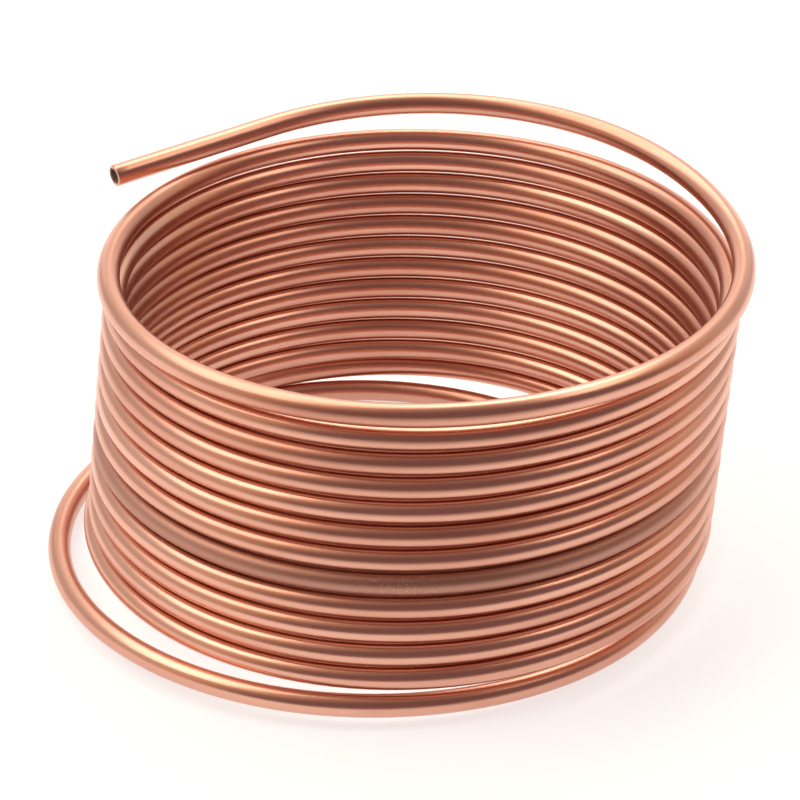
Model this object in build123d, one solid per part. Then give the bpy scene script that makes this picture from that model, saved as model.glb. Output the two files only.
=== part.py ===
from build123d import *
import math
import os

# Coil of soft-drawn copper tube, one piece of stock, in millimetres.
# The coil stands on its loose bottom turn. +Z is up, -Y is the side where the bottom turn meets
# the stack. Seen from above, the tube climbs anticlockwise from its bottom end to its top end.
# Places along the tube are counted in turns, from 0 at the front of the lowest stacked turn.

# Tube
tube_od = 6.35
tube_wall = 0.76
end_round = 0.3

# Stack of close turns, which has slumped to the right and to the back
former_diameter = 164.3
turn_gap = 0.11
stack_turns = 12
stack_lean_right = 0.098
stack_lean_back = 0.204

# Loose bottom turn, sprung to the left and flat on the floor
bottom_turns = 0.771
bottom_flat_turn = -0.47
bottom_shift_left = 10.4
bottom_shift_front = 1.1
bottom_shift_start = 0.47
bottom_shift_length = 0.74
bottom_end_straight = 10.0

# Lowest stacked turn, which sags at its right and bulges at its back
sag_depth = 3.85
sag_start = -0.04
sag_length = 0.4
bulge_depth = 2.9
bulge_start = 0.12
bulge_length = 0.77

# Last stacked turn, which bows out at its left and rises at its front
top_bow = 2.5
top_bow_start = -0.545
top_bow_length = 0.7
top_rise = 1.95
top_rise_start = -0.215
top_rise_length = 0.525

# Top end, sprung outwards at its right and arched up off the stack at its back, then straight
top_turns = 0.592
top_spread = 3.8
top_spread_start = -0.195
top_spread_length = 0.645
top_lift = 6.15
top_lift_start = 0.215
top_lift_length = 0.485
top_end_straight = 51.5

# The bend is a chain of arcs, each tangent to the next
bends_per_turn = 8

tube_radius = tube_od / 2
pitch = tube_od + turn_gap
coil_radius = (former_diameter + tube_od) / 2
turns = bottom_turns + stack_turns + top_turns
bends = round(turns * bends_per_turn)
bend_turns = turns / bends
corner_radius = coil_radius / math.cos(math.pi * bend_turns)


def step(turn, start, length):
    """A smooth step from 0 at a start to 1 a length further on."""
    share = min(max((turn - start) / length, 0.0), 1.0)
    return share * share * (3 - 2 * share)


def swell(turn, start, length):
    """A smooth swell from 0 at a start to 1 halfway and back to 0 a length further on."""
    share = min(max((turn - start) / length, 0.0), 1.0)
    return math.sin(math.pi * share) ** 2


def corner(turn):
    """Corner of the route at a turn."""
    angle = 2 * math.pi * turn - math.pi / 2
    loose = 1 - step(turn, bottom_shift_start - bottom_shift_length, bottom_shift_length)
    radius = corner_radius + bulge_depth * swell(turn, bulge_start, bulge_length)
    radius += top_bow * swell(turn, stack_turns + top_bow_start, top_bow_length)
    radius += top_spread * swell(turn, stack_turns + top_spread_start, top_spread_length)
    x = radius * math.cos(angle) + stack_lean_right * pitch * turn - bottom_shift_left * loose
    y = radius * math.sin(angle) + stack_lean_back * pitch * turn - bottom_shift_front * loose
    z = tube_radius + pitch * (max(turn, bottom_flat_turn) - bottom_flat_turn)
    z -= sag_depth * swell(turn, sag_start, sag_length)
    z += top_rise * swell(turn, stack_turns + top_rise_start, top_rise_length)
    z += top_lift * swell(turn, stack_turns + top_lift_start, top_lift_length)
    return Vector(x, y, z)


def bend(corners):
    """Arcs round the corners, each starting where the last one ends, with a straight at each end."""
    reach = (corners[1] - corners[0]).length / 2
    run = (corners[1] - corners[0]).normalized()
    lowest = corners[1] - run * reach
    edges = [Line(lowest - run * bottom_end_straight, lowest)]
    for before, at, after in zip(corners, corners[1:], corners[2:]):
        arriving = (at - before).normalized()
        leaving = (after - at).normalized()
        start = at - arriving * reach
        end = at + leaving * reach
        edges.append(TangentArc(start, end, tangent=arriving))
        reach = (after - at).length - reach
    edges.append(Line(end, end + leaving * top_end_straight))
    return Wire([piece.edge() for piece in edges])


def copper_tube():
    """The whole tube, its wall swept along the route and its cut ends rounded."""
    first = -bottom_turns - bend_turns / 2
    corners = [corner(first + i * bend_turns) for i in range(bends + 2)]
    route = bend(corners)
    section = Circle(tube_radius) - Circle(tube_radius - tube_wall)
    tube = sweep(Plane(origin=route @ 0, z_dir=route % 0) * section, path=route)
    print("route length", round(route.length, 1), "volume", round(tube.volume, 1))
    print("section times length", round(section.area * route.length, 1))
    cuts = tube.faces().filter_by(GeomType.PLANE)
    rims = [cut.edges().sort_by(SortBy.LENGTH)[-1] for cut in cuts]
    return fillet(rims, end_round)


def on_its_base(shape):
    """The shape moved so that the middle of its box's underside is the origin."""
    box = shape.bounding_box()
    middle = box.center()
    return Pos(-middle.X, -middle.Y, -box.min.Z) * shape


os.makedirs("parts", exist_ok=True)
export_step(on_its_base(copper_tube()), "parts/copper_tube.step")
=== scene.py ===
import math

import bmesh
import bpy
from mathutils import Matrix, Vector


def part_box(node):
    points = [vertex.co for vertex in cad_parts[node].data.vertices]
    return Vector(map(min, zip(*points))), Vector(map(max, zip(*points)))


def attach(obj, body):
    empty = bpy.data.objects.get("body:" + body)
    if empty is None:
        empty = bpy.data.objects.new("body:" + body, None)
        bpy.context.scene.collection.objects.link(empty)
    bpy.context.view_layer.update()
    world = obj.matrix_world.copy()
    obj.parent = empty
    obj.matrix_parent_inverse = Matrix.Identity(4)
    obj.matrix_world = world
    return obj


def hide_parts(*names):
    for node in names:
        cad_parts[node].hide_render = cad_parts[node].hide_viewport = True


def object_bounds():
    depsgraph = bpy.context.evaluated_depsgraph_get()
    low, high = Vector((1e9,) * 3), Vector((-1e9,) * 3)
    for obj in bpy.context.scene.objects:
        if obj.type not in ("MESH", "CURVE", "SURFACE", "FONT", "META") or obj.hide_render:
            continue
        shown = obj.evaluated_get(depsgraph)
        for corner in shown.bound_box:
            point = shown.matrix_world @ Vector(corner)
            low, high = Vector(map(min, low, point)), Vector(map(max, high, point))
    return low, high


bl_info = {
    "name": "Copper Tube Coil",
    "version": (1, 0, 0),
    "blender": (4, 5, 0),
    "location": "View3D > Sidebar > Copper Coil",
    "description": "A coil of soft-drawn copper tube with a free top end and a loose bottom turn",
    "category": "Add Mesh",
}

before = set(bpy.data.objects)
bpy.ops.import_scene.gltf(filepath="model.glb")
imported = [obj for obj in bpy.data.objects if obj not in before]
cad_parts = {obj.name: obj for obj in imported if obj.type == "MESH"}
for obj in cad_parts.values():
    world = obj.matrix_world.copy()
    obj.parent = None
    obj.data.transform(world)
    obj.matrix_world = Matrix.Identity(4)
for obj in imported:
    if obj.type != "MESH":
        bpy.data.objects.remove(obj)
CAD_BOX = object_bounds()
MM = 0.001
JOINT_TOLERANCE = 0.001 * MM


class CoilSizes(bpy.types.PropertyGroup):
    """Sizes of the tube and its coil, in metres and turns."""

    tube_od: bpy.props.FloatProperty(
        name="Tube diameter", description="Outside diameter of the tube",
        default=6.35 * MM, unit="LENGTH")
    tube_wall: bpy.props.FloatProperty(
        name="Wall", description="Thickness of the tube's wall", default=0.76 * MM, unit="LENGTH")
    end_round: bpy.props.FloatProperty(
        name="End round", description="Rounding that the cutting wheel leaves on the rim of an end",
        default=0.3 * MM, unit="LENGTH")
    rim_roll: bpy.props.FloatProperty(
        name="Rim roll", description="How far the cutting wheel has rolled the rim of the bore inwards",
        default=0.75 * MM, unit="LENGTH")
    former_diameter: bpy.props.FloatProperty(
        name="Inside diameter", description="Diameter of the former that the tube was wound on",
        default=164.3 * MM, unit="LENGTH")
    turn_gap: bpy.props.FloatProperty(
        name="Gap", description="Gap between one turn and the next, counted upwards",
        default=0.11 * MM, unit="LENGTH")
    stack_turns: bpy.props.FloatProperty(
        name="Stacked turns", description="Number of turns in the stack", default=12.0)
    lean_right: bpy.props.FloatProperty(
        name="Lean right", description="Slump of the stack to the right, a share of its height",
        default=0.098)
    lean_back: bpy.props.FloatProperty(
        name="Lean back", description="Slump of the stack to the back, a share of its height",
        default=0.204)
    bottom_turns: bpy.props.FloatProperty(
        name="Bottom turns", description="Turns of the loose bottom loop", default=0.771)
    bottom_flat_turn: bpy.props.FloatProperty(
        name="Flat up to", description="Turn at which the tube starts to climb off the floor",
        default=-0.47)
    bottom_shift_left: bpy.props.FloatProperty(
        name="Loop left", description="How far the loose loop lies to the left of the stack",
        default=10.4 * MM, unit="LENGTH")
    bottom_shift_front: bpy.props.FloatProperty(
        name="Loop front", description="How far the loose loop lies in front of the stack",
        default=1.1 * MM, unit="LENGTH")
    bottom_shift_start: bpy.props.FloatProperty(
        name="Loop starts", description="Turn at which the tube leaves the stack", default=0.47)
    bottom_shift_length: bpy.props.FloatProperty(
        name="Loop shift length", description="Turns over which the tube leaves the stack", default=0.74)
    bottom_end_straight: bpy.props.FloatProperty(
        name="Bottom straight", description="Straight length at the bottom end",
        default=10.0 * MM, unit="LENGTH")
    sag_depth: bpy.props.FloatProperty(
        name="Sag", description="Sag of the lowest stacked turn at its right",
        default=3.85 * MM, unit="LENGTH")
    sag_start: bpy.props.FloatProperty(
        name="Sag starts", description="Turn at which the sag starts", default=-0.04)
    sag_length: bpy.props.FloatProperty(
        name="Sag length", description="Turns over which the tube sags", default=0.4)
    bulge_depth: bpy.props.FloatProperty(
        name="Bulge", description="Bulge of the lowest stacked turn at its back",
        default=2.9 * MM, unit="LENGTH")
    bulge_start: bpy.props.FloatProperty(
        name="Bulge starts", description="Turn at which the bulge starts", default=0.12)
    bulge_length: bpy.props.FloatProperty(
        name="Bulge length", description="Turns over which the tube bulges", default=0.77)
    top_bow: bpy.props.FloatProperty(
        name="Top bow", description="How far the last stacked turn bows out at its left",
        default=2.5 * MM, unit="LENGTH")
    top_bow_start: bpy.props.FloatProperty(
        name="Bow starts", description="Start of the bow, in turns from the top of the stack",
        default=-0.545)
    top_bow_length: bpy.props.FloatProperty(
        name="Bow length", description="Turns over which the last turn bows out", default=0.7)
    top_rise: bpy.props.FloatProperty(
        name="Top rise", description="How far the last stacked turn rises at its front",
        default=1.95 * MM, unit="LENGTH")
    top_rise_start: bpy.props.FloatProperty(
        name="Rise starts", description="Start of the rise, in turns from the top of the stack",
        default=-0.215)
    top_rise_length: bpy.props.FloatProperty(
        name="Rise length", description="Turns over which the last turn rises", default=0.525)
    top_turns: bpy.props.FloatProperty(
        name="Top turns", description="Turns of the free top end", default=0.592)
    top_spread: bpy.props.FloatProperty(
        name="Top spread", description="How far the free end stands out at its right",
        default=3.8 * MM, unit="LENGTH")
    top_spread_start: bpy.props.FloatProperty(
        name="Spread starts", description="Start of the spread, in turns from the top of the stack",
        default=-0.195)
    top_spread_length: bpy.props.FloatProperty(
        name="Spread length", description="Turns over which the free end spreads", default=0.645)
    top_lift: bpy.props.FloatProperty(
        name="Top lift", description="How far the free end arches up off the stack",
        default=6.15 * MM, unit="LENGTH")
    top_lift_start: bpy.props.FloatProperty(
        name="Lift starts", description="Start of the arch, in turns from the top of the stack",
        default=0.215)
    top_lift_length: bpy.props.FloatProperty(
        name="Lift length", description="Turns over which the free end arches", default=0.485)
    top_end_straight: bpy.props.FloatProperty(
        name="Top straight", description="Straight length at the top end",
        default=51.5 * MM, unit="LENGTH")


class CoilMesh(bpy.types.PropertyGroup):
    """How finely the tube is meshed."""

    bends_per_turn: bpy.props.IntProperty(
        name="Bends per turn", description="Arcs that make one turn", default=8)
    sides: bpy.props.IntProperty(
        name="Sides", description="Faces round the tube", default=28)
    steps_per_bend: bpy.props.IntProperty(
        name="Steps", description="Faces along each arc", default=15)
    straight_step: bpy.props.FloatProperty(
        name="Straight step", description="Length of a face along a straight",
        default=4.0 * MM, unit="LENGTH")
    rim_segments: bpy.props.IntProperty(
        name="Rim segments", description="Faces across the rounded rim of an end", default=3)


class CopperFinish(bpy.types.PropertyGroup):
    """Colours and surface of the drawn copper."""

    clean: bpy.props.StringProperty(
        name="Clean copper", description="sRGB hex colour of the freshly drawn metal", default="#E6B09B")
    brown: bpy.props.StringProperty(
        name="Tarnished copper", description="sRGB hex colour where handling has browned it",
        default="#CC8F7A")
    dull: bpy.props.StringProperty(
        name="Dull copper", description="sRGB hex colour of the stretch that has oxidised",
        default="#BD8D7C")
    tarnish_width: bpy.props.FloatProperty(
        name="Tarnish width", description="Width of a patch of tarnish, across the tube",
        default=16.6667 * MM, unit="LENGTH")
    tarnish_length: bpy.props.FloatProperty(
        name="Tarnish length", description="Length of a patch of tarnish, along the tube",
        default=111.1111 * MM, unit="LENGTH")
    clean_roughness: bpy.props.FloatProperty(
        name="Clean roughness", description="Roughness of the freshly drawn metal", default=0.25)
    brown_roughness: bpy.props.FloatProperty(
        name="Tarnished roughness", description="Roughness where handling has browned it", default=0.33)
    dull_extra_roughness: bpy.props.FloatProperty(
        name="Extra roughness", description="Roughness that the oxide and the bore have on top",
        default=0.17)
    dull_from: bpy.props.FloatProperty(
        name="Dull from", description="Length along the tube at which the oxidised stretch starts",
        default=2965.0 * MM, unit="LENGTH")
    dull_to: bpy.props.FloatProperty(
        name="Dull to", description="Length along the tube at which the oxidised stretch ends",
        default=3230.0 * MM, unit="LENGTH")
    dull_fade: bpy.props.FloatProperty(
        name="Dull fade", description="Length over which the oxide thins out at either end",
        default=40.0 * MM, unit="LENGTH")
    # The bore's colour is painted shade: a dark brown for the dark inside of the tube
    bore: bpy.props.StringProperty(
        name="Bore", description="sRGB hex colour of the unpolished wall inside the tube", default="#50352C")
    scuff_at: bpy.props.FloatProperty(
        name="Scuff at", description="Length along the tube of the pale scuff",
        default=3112.0 * MM, unit="LENGTH")
    scuff_length: bpy.props.FloatProperty(
        name="Scuff length", description="Length of the pale scuff", default=40.0 * MM, unit="LENGTH")
    scuff: bpy.props.StringProperty(
        name="Scuffed copper", description="sRGB hex colour of the specks that rubbing left",
        default="#D2B6A9")
    scuff_grain: bpy.props.FloatProperty(
        name="Scuff grain", description="Specks to a metre of the scuff", default=1400.0)
    die_line_width: bpy.props.FloatProperty(
        name="Die line width", description="Width of a line that the drawing die leaves",
        default=0.35 * MM, unit="LENGTH")
    die_line_length: bpy.props.FloatProperty(
        name="Die line length", description="Length over which a die line changes",
        default=160.0 * MM, unit="LENGTH")
    die_line_depth: bpy.props.FloatProperty(
        name="Die line depth", description="Depth of a die line", default=0.05 * MM, unit="LENGTH")
    die_line_strength: bpy.props.FloatProperty(
        name="Die line strength", description="Share of that depth that shows", default=0.12)


class StageLook(bpy.types.PropertyGroup):
    """Floor, light tent, room and lamps."""

    floor_colour: bpy.props.StringProperty(
        name="Floor", description="sRGB hex colour of the floor", default="#C3C3C3")
    floor_glow: bpy.props.FloatProperty(
        name="Floor glow", description="Light that the floor adds towards the camera and reflections",
        default=0.65)
    floor_dim_glow: bpy.props.FloatProperty(
        name="Dim floor glow",
        description="The same in reflections, for the floor out in the dim room in front", default=0.16)
    floor_fade_from: bpy.props.FloatProperty(
        name="Floor fades from",
        description="Distance in front of the origin at which the floor starts to dim",
        default=100.0 * MM, unit="LENGTH")
    floor_fade_to: bpy.props.FloatProperty(
        name="Floor fades to", description="Distance in front of the origin at which the floor is dim",
        default=340.0 * MM, unit="LENGTH")
    tent_colour: bpy.props.StringProperty(
        name="Tent", description="sRGB hex colour of the lit cloth behind and beside the coil",
        default="#D9D4CE")
    fold_colour: bpy.props.StringProperty(
        name="Tent sides", description="sRGB hex colour of the cloth where the tent opens",
        default="#E4C1A0")
    room_colour: bpy.props.StringProperty(
        name="Room", description="sRGB hex colour of the dim room in front of the tent",
        default="#80686A")
    tent_azimuth: bpy.props.FloatProperty(
        name="Tent azimuth", description="Azimuth of the tent's closed side, anticlockwise from the front",
        default=math.radians(200.0), unit="ROTATION")


def hex_colour(text):
    """A linear RGBA colour from an sRGB hex value."""
    shares = [int(text[i:i + 2], 16) / 255 for i in (1, 3, 5)]
    return [s / 12.92 if s <= 0.04045 else ((s + 0.055) / 1.055) ** 2.4 for s in shares] + [1.0]


def step(turn, start, length):
    """A smooth step from 0 at a start to 1 a length further on."""
    share = min(max((turn - start) / length, 0.0), 1.0)
    return share * share * (3 - 2 * share)


def swell(turn, start, length):
    """A smooth swell from 0 at a start to 1 halfway and back to 0 a length further on."""
    share = min(max((turn - start) / length, 0.0), 1.0)
    return math.sin(math.pi * share) ** 2


def corner(turn, size, bend_turns):
    """Corner of the tube's route at a turn, counted up from the front of the lowest stacked turn."""
    pitch = size.tube_od + size.turn_gap
    coil_radius = (size.former_diameter + size.tube_od) / 2
    angle = 2 * math.pi * turn - math.pi / 2
    loose = 1 - step(turn, size.bottom_shift_start - size.bottom_shift_length, size.bottom_shift_length)
    radius = coil_radius / math.cos(math.pi * bend_turns)
    radius += size.bulge_depth * swell(turn, size.bulge_start, size.bulge_length)
    radius += size.top_bow * swell(turn, size.stack_turns + size.top_bow_start, size.top_bow_length)
    radius += size.top_spread * swell(turn, size.stack_turns + size.top_spread_start, size.top_spread_length)
    x = radius * math.cos(angle) + size.lean_right * pitch * turn - size.bottom_shift_left * loose
    y = radius * math.sin(angle) + size.lean_back * pitch * turn - size.bottom_shift_front * loose
    z = size.tube_od / 2 + pitch * (max(turn, size.bottom_flat_turn) - size.bottom_flat_turn)
    z -= size.sag_depth * swell(turn, size.sag_start, size.sag_length)
    z += size.top_rise * swell(turn, size.stack_turns + size.top_rise_start, size.top_rise_length)
    z += size.top_lift * swell(turn, size.stack_turns + size.top_lift_start, size.top_lift_length)
    return Vector((x, y, z))


def route_corners(size, mesh):
    """Corners of the whole route, from half a bend before the bottom straight on."""
    turns = size.bottom_turns + size.stack_turns + size.top_turns
    bends = round(turns * mesh.bends_per_turn)
    bend_turns = turns / bends
    first = -size.bottom_turns - bend_turns / 2
    return [corner(first + i * bend_turns, size, bend_turns) for i in range(bends + 2)]


def stretch(size, mesh, start, faced, steps, from_length, length, offset=Vector(), **turning):
    """Both walls of one straight or bend, drawn on from a ring at its start and faced along the tube."""
    bm = bmesh.new()
    straightened = bm.verts.layers.float_vector.new("straightened")
    for radius in (size.tube_od / 2 - size.tube_wall, size.tube_od / 2):
        bmesh.ops.create_circle(bm, segments=mesh.sides, radius=radius)
    for vert in bm.verts:
        vert[straightened] = vert.co
    ring = bm.verts[:]
    bmesh.ops.transform(bm, matrix=Matrix.Translation(start) @ faced.to_4x4(), verts=ring)
    bmesh.ops.spin(
        bm, geom=ring + bm.edges[:], dvec=offset / steps, space=Matrix.Identity(4), steps=steps,
        use_merge=False, use_normal_flip=False, use_duplicate=False, **turning)
    for i, vert in enumerate(bm.verts):
        vert[straightened].z = from_length + length * (i // len(ring)) / steps
    return bm


def join(whole, part):
    """Adds one stretch's mesh to the whole tube's."""
    data = bpy.data.meshes.new("stretch")
    part.to_mesh(data)
    part.free()
    whole.from_mesh(data)
    bpy.data.meshes.remove(data)


def build_tube(size, mesh):
    """The whole tube: outer wall and bore along straights and bends, ends closed and their rims rounded."""
    corners = route_corners(size, mesh)
    whole = bmesh.new()
    run = (corners[1] - corners[0]).normalized()
    reach = (corners[1] - corners[0]).length / 2
    faced = run.to_track_quat("Z", "Y").to_matrix()
    along = size.bottom_end_straight
    start = corners[1] - run * (reach + along)
    steps = round(along / mesh.straight_step)
    join(whole, stretch(size, mesh, start, faced, steps, 0.0, along, offset=run * along,
                        cent=start, axis=run, angle=0.0))
    for before, at, after in zip(corners, corners[1:], corners[2:]):
        arriving = (at - before).normalized()
        leaving = (after - at).normalized()
        turn = arriving.angle(leaving)
        axis = arriving.cross(leaving).normalized()
        bend_radius = reach / math.tan(turn / 2)
        start = at - arriving * reach
        centre = start + axis.cross(arriving) * bend_radius
        join(whole, stretch(size, mesh, start, faced, mesh.steps_per_bend, along, bend_radius * turn,
                            cent=centre, axis=axis, angle=turn))
        faced = Matrix.Rotation(turn, 3, axis) @ faced
        along += bend_radius * turn
        start = at + leaving * reach
        reach = (after - at).length - reach
    straight = size.top_end_straight
    steps = round(straight / mesh.straight_step)
    join(whole, stretch(size, mesh, start, faced, steps, along, straight, offset=leaving * straight,
                        cent=start, axis=leaving, angle=0.0))
    bmesh.ops.remove_doubles(whole, verts=whole.verts, dist=JOINT_TOLERANCE)
    close_ends(whole, size, mesh)
    for face in whole.faces:
        face.smooth = True
    print("tube length", round(along + straight, 4), "faces", len(whole.faces))
    return whole


def close_ends(bm, size, mesh):
    """Joins the bore's rim to the outer rim at each end, rolls it inwards and rounds the outer one."""
    straightened = bm.verts.layers.float_vector["straightened"]
    middle = size.tube_od / 2 - size.tube_wall / 2
    narrowed = 1 - size.rim_roll / (size.tube_od / 2 - size.tube_wall)
    open_edges = [edge for edge in bm.edges if edge.is_boundary]
    length = max(vert[straightened].z for vert in bm.verts)
    for far in (False, True):
        rims = [edge for edge in open_edges if (edge.verts[0][straightened].z > length / 2) == far]
        bmesh.ops.bridge_loops(bm, edges=rims)
        verts = dict.fromkeys(vert for edge in rims for vert in edge.verts)
        mouth = [vert for vert in verts if vert[straightened].xy.length < middle]
        centre = sum((vert.co for vert in mouth), Vector()) / len(mouth)
        bmesh.ops.scale(bm, vec=Vector((narrowed,) * 3), space=Matrix.Translation(-centre), verts=mouth)
    outer = [edge for edge in open_edges if edge.verts[0][straightened].xy.length > middle]
    bmesh.ops.recalc_face_normals(bm, faces=bm.faces)
    bmesh.ops.bevel(
        bm, geom=outer, offset=size.end_round, offset_type="OFFSET", segments=mesh.rim_segments,
        profile=0.5, affect="EDGES", material=-1, clamp_overlap=True)


def node(tree, kind, inputs=None, **settings):
    """A node of a kind, with its settings and its inputs, each a value or another node's output."""
    made = tree.nodes.new(kind)
    for name, value in settings.items():
        setattr(made, name, value)
    for name, value in (inputs or {}).items():
        if isinstance(value, bpy.types.NodeSocket):
            tree.links.new(value, made.inputs[name])
        else:
            made.inputs[name].default_value = value
    return made


# Noise values at which the copper is brown and clean, and at which it is rough and smooth
BROWN_TO_CLEAN = (0.3, 0.62)
ROUGH_TO_SMOOTH = (0.3, 0.7)

# Noise values at which a speck of the scuff starts and is full
SPECK_EDGE = (0.56, 0.70)

# Share of the wall over which the bore's painted shade, a dark brown, ends at its rim
BORE_SHADE_EDGE = 1 / 16


def drawn_copper(size, finish):
    """Soft copper drawn through a die: satin metal whose fine lines run along the tube."""
    material = bpy.data.materials.new("drawn_copper")
    material.use_nodes = True
    tree = material.node_tree
    tree.nodes.clear()
    place = node(tree, "ShaderNodeAttribute", attribute_name="straightened").outputs["Vector"]
    along = node(tree, "ShaderNodeSeparateXYZ", {"Vector": place}).outputs["Z"]

    # Tarnish from handling drifts slowly along the tube
    scale = (1.0 / finish.tarnish_width, 1.0 / finish.tarnish_width, 1.0 / finish.tarnish_length)
    drift = node(tree, "ShaderNodeMapping", {"Vector": place, "Scale": scale}).outputs["Vector"]
    cloud = node(tree, "ShaderNodeTexNoise",
                 {"Vector": drift, "Scale": 1.0, "Detail": 4.0, "Roughness": 0.6}).outputs["Fac"]
    fresh = node(tree, "ShaderNodeValToRGB", {"Fac": cloud})
    brown, clean = fresh.color_ramp.elements
    brown.position, clean.position = BROWN_TO_CLEAN
    brown.color = hex_colour(finish.brown)
    clean.color = hex_colour(finish.clean)
    satin = node(tree, "ShaderNodeMapRange",
                 {"Value": cloud, "From Min": ROUGH_TO_SMOOTH[0], "From Max": ROUGH_TO_SMOOTH[1],
                  "To Min": finish.brown_roughness, "To Max": finish.clean_roughness},
                 interpolation_type="SMOOTHSTEP").outputs["Result"]

    # One stretch has oxidised to a dull grey-brown
    starts = node(tree, "ShaderNodeMapRange",
                  {"Value": along, "From Min": finish.dull_from,
                   "From Max": finish.dull_from + finish.dull_fade},
                  interpolation_type="SMOOTHSTEP").outputs["Result"]
    ends = node(tree, "ShaderNodeMapRange",
                {"Value": along, "From Min": finish.dull_to, "From Max": finish.dull_to - finish.dull_fade},
                interpolation_type="SMOOTHSTEP").outputs["Result"]
    oxide = node(tree, "ShaderNodeMath", {0: starts, 1: ends}, operation="MULTIPLY").outputs["Value"]
    colour = node(tree, "ShaderNodeMixRGB",
                  {"Fac": oxide, "Color1": fresh.outputs["Color"],
                   "Color2": hex_colour(finish.dull)}).outputs["Color"]

    # A pale scuff of small specks on the oxidised stretch
    half = finish.scuff_length / 2
    starts = node(tree, "ShaderNodeMapRange",
                  {"Value": along, "From Min": finish.scuff_at - half, "From Max": finish.scuff_at},
                  interpolation_type="SMOOTHSTEP").outputs["Result"]
    ends = node(tree, "ShaderNodeMapRange",
                {"Value": along, "From Min": finish.scuff_at + half, "From Max": finish.scuff_at},
                interpolation_type="SMOOTHSTEP").outputs["Result"]
    grain = node(tree, "ShaderNodeTexNoise",
                 {"Vector": place, "Scale": finish.scuff_grain, "Detail": 2.0,
                  "Roughness": 0.5}).outputs["Fac"]
    specks = node(tree, "ShaderNodeMapRange",
                  {"Value": grain, "From Min": SPECK_EDGE[0], "From Max": SPECK_EDGE[1]},
                  interpolation_type="SMOOTHSTEP").outputs["Result"]
    scuff = node(tree, "ShaderNodeMath", {0: starts, 1: ends}, operation="MULTIPLY").outputs["Value"]
    scuff = node(tree, "ShaderNodeMath", {0: scuff, 1: specks}, operation="MULTIPLY").outputs["Value"]
    colour = node(tree, "ShaderNodeMixRGB",
                  {"Fac": scuff, "Color1": colour, "Color2": hex_colour(finish.scuff)}).outputs["Color"]

    # The wall of the bore is painted dark brown: painted shade for the dark inside of the tube
    across = node(tree, "ShaderNodeMapping", {"Vector": place, "Scale": (1.0, 1.0, 0.0)}).outputs["Vector"]
    radius = node(tree, "ShaderNodeVectorMath", {0: across}, operation="LENGTH").outputs["Value"]
    bore = size.tube_od / 2 - size.tube_wall
    inside = node(tree, "ShaderNodeMapRange",
                  {"Value": radius, "From Min": bore + size.tube_wall * BORE_SHADE_EDGE, "From Max": bore},
                  interpolation_type="SMOOTHSTEP").outputs["Result"]
    colour = node(tree, "ShaderNodeMixRGB",
                  {"Fac": inside, "Color1": colour, "Color2": hex_colour(finish.bore)}).outputs["Color"]

    # Oxide and bore scatter the light more than the drawn surface does
    duller = node(tree, "ShaderNodeMath", {0: oxide, 1: inside}, operation="MAXIMUM").outputs["Value"]
    rough = node(tree, "ShaderNodeMath",
                 {0: duller, 1: finish.dull_extra_roughness, 2: satin},
                 operation="MULTIPLY_ADD", use_clamp=True).outputs["Value"]

    # Die lines: narrow across the tube, long along it
    scale = (1.0 / finish.die_line_width, 1.0 / finish.die_line_width, 1.0 / finish.die_line_length)
    drawn = node(tree, "ShaderNodeMapping", {"Vector": place, "Scale": scale}).outputs["Vector"]
    lines = node(tree, "ShaderNodeTexNoise",
                 {"Vector": drawn, "Scale": 1.0, "Detail": 2.0, "Roughness": 0.5}).outputs["Fac"]
    bump = node(tree, "ShaderNodeBump",
                {"Height": lines, "Strength": finish.die_line_strength,
                 "Distance": finish.die_line_depth}).outputs["Normal"]
    shader = node(tree, "ShaderNodeBsdfPrincipled",
                  {"Base Color": colour, "Roughness": rough, "Normal": bump, "Metallic": 1.0})
    node(tree, "ShaderNodeOutputMaterial", {"Surface": shader.outputs["BSDF"]})
    return material


def own_box(piece):
    """Lowest and highest corner of a piece whose object sits at the origin."""
    corners = [Vector(corner) for corner in piece.bound_box]
    return Vector(map(min, *corners)), Vector(map(max, *corners))


def base_middle(low, high):
    """The middle of a box's underside."""
    return Vector(((low.x + high.x) / 2, (low.y + high.y) / 2, low.z))


class COIL_OT_tube(bpy.types.Operator):
    """Make the copper tube along its route and dress it in drawn copper"""

    bl_idname = "coil.tube"
    bl_label = "Copper Tube"

    def execute(self, context):
        scene = context.scene
        bm = build_tube(scene.coil_sizes, scene.coil_mesh)
        data = bpy.data.meshes.new("copper_tube_drawn")
        bm.to_mesh(data)
        bm.free()
        piece = bpy.data.objects.new("copper_tube_drawn", data)
        context.scene.collection.objects.link(piece)
        context.view_layer.update()
        shift = base_middle(*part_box("copper_tube")) - base_middle(*own_box(piece))
        data.transform(Matrix.Translation(shift))
        data.materials.append(drawn_copper(scene.coil_sizes, scene.copper_finish))
        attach(piece, "root")
        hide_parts("copper_tube")
        return {"FINISHED"}


class COIL_OT_stage(bpy.types.Operator):
    """Make the floor, the light tent, the lamps and the camera"""

    bl_idname = "coil.stage"
    bl_label = "Stage"

    def execute(self, context):
        look = context.scene.stage_look
        make_floor(look)
        make_surroundings(look)
        for lamp in LAMPS:
            make_lamp(*lamp)
        make_camera(context.scene)
        return {"FINISHED"}


FLOOR_SIZE = 40.0

# Each lamp: its name, azimuth from the front towards the right and elevation in degrees,
# distance, width and height in metres, brightness and colour
LAMPS = (
    ("lamp_left", -136.0, 61.0, 1.4, 2.5, 0.95, 2.05, "#FFFAEC"),
    ("lamp_back", 180.0, 10.0, 1.5, 1.8, 0.8, 0.65, "#FFF6E8"),
    ("lamp_right", 118.0, 62.0, 1.2, 1.5, 0.35, 1.7, "#FFF8E6"),
)

# The tent's cloth, by the cosine of the angle from its closed side: where it ends and where it is full
TENT_EDGE = (-0.6, 0.3)

# The tent's top, by the sine of the elevation: where it starts to open, where it is open, and the share left
TENT_TOP = (0.8, 0.98)
TENT_TOP_SHARE = 0.3

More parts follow.
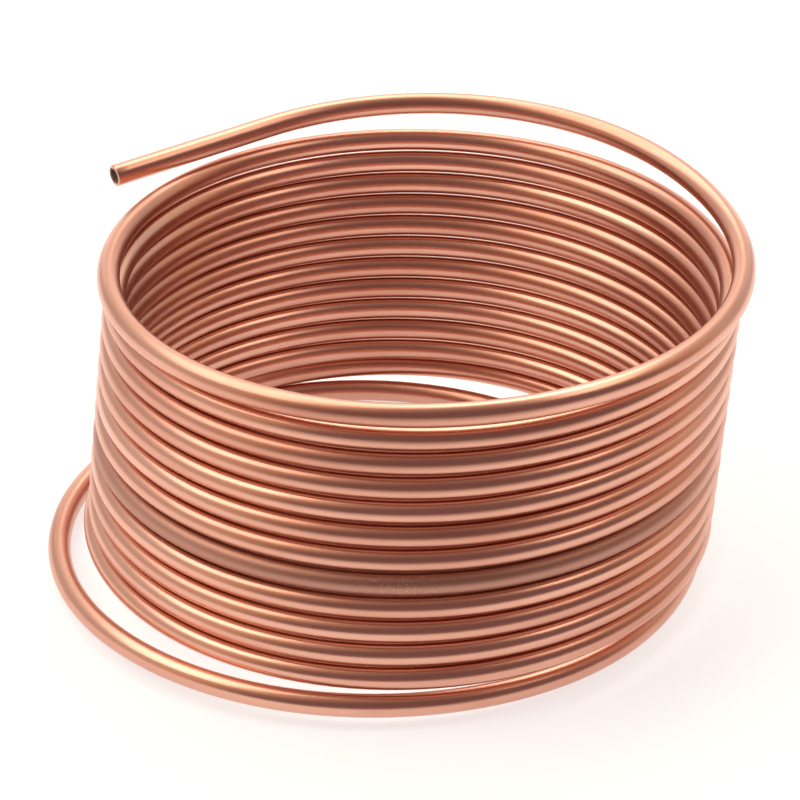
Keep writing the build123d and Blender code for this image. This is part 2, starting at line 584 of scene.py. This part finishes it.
# The camera: its elevation, roll, distance and lens, and the point it is aimed at
VIEW_ELEVATION = math.radians(29.975)
VIEW_ROLL = math.radians(0.228)
VIEW_DISTANCE = 893.9 * MM
VIEW_AIM = Vector((1.01, 10.18, 37.52)) * MM
LENS = 141.14
SENSOR = 36.0


def make_floor(look):
    """A wide pale floor that shows white and keeps the shadow, and dims in the copper towards the room."""
    data = bpy.data.meshes.new("floor")
    bm = bmesh.new()
    bmesh.ops.create_grid(bm, x_segments=1, y_segments=1, size=FLOOR_SIZE / 2)
    bm.to_mesh(data)
    bm.free()
    floor = bpy.data.objects.new("floor", data)
    bpy.context.scene.collection.objects.link(floor)
    material = bpy.data.materials.new("pale_floor")
    material.use_nodes = True
    tree = material.node_tree
    tree.nodes.clear()
    paint = node(tree, "ShaderNodeBsdfDiffuse", {"Color": hex_colour(look.floor_colour)})
    path = node(tree, "ShaderNodeLightPath").outputs
    mirrored = node(tree, "ShaderNodeMath", {0: path["Is Glossy Ray"], 1: path["Is Transmission Ray"]},
                    operation="ADD", use_clamp=True).outputs["Value"]
    place = node(tree, "ShaderNodeTexCoord").outputs["Object"]
    depth = node(tree, "ShaderNodeSeparateXYZ", {"Vector": place}).outputs["Y"]
    reach = node(tree, "ShaderNodeMapRange",
                 {"Value": depth, "From Min": -look.floor_fade_to, "From Max": -look.floor_fade_from,
                  "To Min": look.floor_dim_glow, "To Max": look.floor_glow},
                 interpolation_type="SMOOTHSTEP").outputs["Result"]
    shown = node(tree, "ShaderNodeMath", {0: path["Is Camera Ray"], 1: look.floor_glow},
                 operation="MULTIPLY").outputs["Value"]
    lift = node(tree, "ShaderNodeMath", {0: mirrored, 1: reach, 2: shown},
                operation="MULTIPLY_ADD").outputs["Value"]
    glow = node(tree, "ShaderNodeEmission", {"Color": (1.0, 1.0, 1.0, 1.0), "Strength": lift})
    both = node(tree, "ShaderNodeAddShader", {0: paint.outputs["BSDF"], 1: glow.outputs["Emission"]})
    node(tree, "ShaderNodeOutputMaterial", {"Surface": both.outputs["Shader"]})
    data.materials.append(material)


def make_surroundings(look):
    """A tent of pale lit cloth round the back and sides, open above and in front to a dim room."""
    world = bpy.data.worlds.new("light_tent")
    bpy.context.scene.world = world
    world.use_nodes = True
    tree = world.node_tree
    tree.nodes.clear()
    away = node(tree, "ShaderNodeTexCoord").outputs["Generated"]
    towards = (math.sin(look.tent_azimuth), -math.cos(look.tent_azimuth), 0.0)
    facing = node(tree, "ShaderNodeVectorMath", {0: away, 1: towards},
                  operation="DOT_PRODUCT").outputs["Value"]
    height = node(tree, "ShaderNodeSeparateXYZ", {"Vector": away}).outputs["Z"]
    walls = node(tree, "ShaderNodeMapRange",
                 {"Value": facing, "From Min": TENT_EDGE[0], "From Max": TENT_EDGE[1]},
                 interpolation_type="SMOOTHSTEP").outputs["Result"]
    top = node(tree, "ShaderNodeMapRange",
               {"Value": height, "From Min": TENT_TOP[0], "From Max": TENT_TOP[1],
                "To Min": 1.0, "To Max": TENT_TOP_SHARE},
               interpolation_type="SMOOTHSTEP").outputs["Result"]
    lit = node(tree, "ShaderNodeMath", {0: walls, 1: top}, operation="MULTIPLY").outputs["Value"]
    cloth = node(tree, "ShaderNodeValToRGB", {"Fac": lit})
    cloth.color_ramp.elements[0].color = hex_colour(look.room_colour)
    cloth.color_ramp.elements[1].color = hex_colour(look.tent_colour)
    cloth.color_ramp.elements.new(0.5).color = hex_colour(look.fold_colour)
    shade = node(tree, "ShaderNodeBackground", {"Color": cloth.outputs["Color"], "Strength": 1.0})
    node(tree, "ShaderNodeOutputWorld", {"Surface": shade.outputs["Background"]})


def make_lamp(name, azimuth, elevation, distance, width, height, brightness, colour):
    """A soft lamp of a brightness, aimed at the coil's middle from an azimuth and elevation."""
    data = bpy.data.lights.new(name, "AREA")
    data.shape = "RECTANGLE"
    data.size = width
    data.size_y = height
    data.energy = brightness * math.pi * width * height
    data.color = hex_colour(colour)[:3]
    lamp = bpy.data.objects.new(name, data)
    bpy.context.scene.collection.objects.link(lamp)
    turn, rise = math.radians(azimuth), math.radians(elevation)
    out = Vector((math.sin(turn) * math.cos(rise), -math.cos(turn) * math.cos(rise), math.sin(rise)))
    low, high = CAD_BOX
    lamp.location = (low + high) / 2 + out * distance
    lamp.rotation_euler = (-out).to_track_quat("-Z", "Y").to_euler()
    lamp.visible_camera = False


def make_camera(scene):
    """The photograph's camera, aimed from its elevation at a point beside the coil's axis."""
    data = bpy.data.cameras.new("camera")
    data.lens = LENS
    data.sensor_width = SENSOR
    camera = bpy.data.objects.new("camera", data)
    scene.collection.objects.link(camera)
    scene.camera = camera
    forward = Vector((0, math.cos(VIEW_ELEVATION), -math.sin(VIEW_ELEVATION)))
    level_up = Vector((0, math.sin(VIEW_ELEVATION), math.cos(VIEW_ELEVATION)))
    roll = Matrix.Rotation(VIEW_ROLL, 3, -forward)
    right = roll @ Vector((1, 0, 0))
    up = roll @ level_up
    place = Matrix((right, up, -forward)).transposed().to_4x4()
    place.translation = VIEW_AIM - forward * VIEW_DISTANCE
    camera.matrix_world = place


class COIL_PT_panel(bpy.types.Panel):
    """Sidebar panel that lists the coil's operators and values"""

    bl_idname = "COIL_PT_panel"
    bl_label = "Copper Coil"
    bl_space_type = "VIEW_3D"
    bl_region_type = "UI"
    bl_category = "Copper Coil"

    def draw(self, context):
        for operator in (COIL_OT_tube, COIL_OT_stage):
            self.layout.operator(operator.bl_idname)
        for group in (context.scene.coil_sizes, context.scene.coil_mesh,
                      context.scene.copper_finish, context.scene.stage_look):
            box = self.layout.box()
            for name in group.__annotations__:
                box.prop(group, name)


CLASSES = (CoilSizes, CoilMesh, CopperFinish, StageLook, COIL_OT_tube, COIL_OT_stage, COIL_PT_panel)
GROUPS = {"coil_sizes": CoilSizes, "coil_mesh": CoilMesh, "copper_finish": CopperFinish,
          "stage_look": StageLook}


def register():
    for kind in CLASSES:
        bpy.utils.register_class(kind)
    for name, kind in GROUPS.items():
        setattr(bpy.types.Scene, name, bpy.props.PointerProperty(type=kind))


def unregister():
    for name in GROUPS:
        delattr(bpy.types.Scene, name)
    for kind in reversed(CLASSES):
        bpy.utils.unregister_class(kind)


def main():
    """Makes the whole scene."""
    register()
    bpy.context.scene.view_settings.view_transform = "Standard"
    bpy.ops.coil.tube()
    bpy.ops.coil.stage()


if __name__ == "__main__":
    main()
